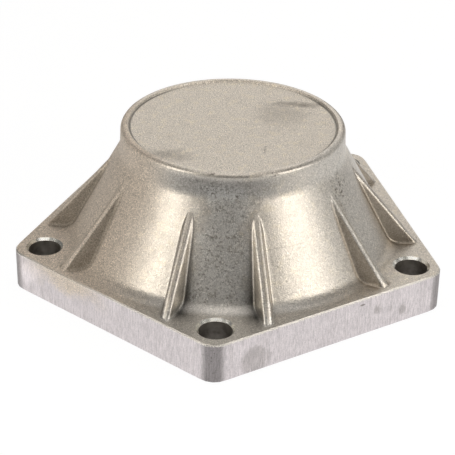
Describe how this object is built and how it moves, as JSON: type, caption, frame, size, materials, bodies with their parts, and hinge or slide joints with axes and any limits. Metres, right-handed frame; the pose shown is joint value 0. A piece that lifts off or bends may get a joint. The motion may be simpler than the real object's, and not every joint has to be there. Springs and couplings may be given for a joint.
{
  "type": "bearing support",
  "caption": "Cast aluminium bearing support: a hollow, closed cone with stiffening ribs on a pentagonal bolting flange, bored from below for a ball bearing.",
  "frame": {"origin": "on the bearing's axis, in the plane of the mounting face under the flange", "axes": "+Z along the bearing's axis towards the closed end, -Y through one corner of the flange and its bolt hole"},
  "size_m": [0.1458, 0.1393, 0.0549],
  "materials": {
    "cast_aluminium": "as cast with a fine sandy grain, machined on the flange's sides, holes and underside"
  },
  "bodies": {
    "root": {"bearing_support": "cast_aluminium"}
  },
  "joints": []
}
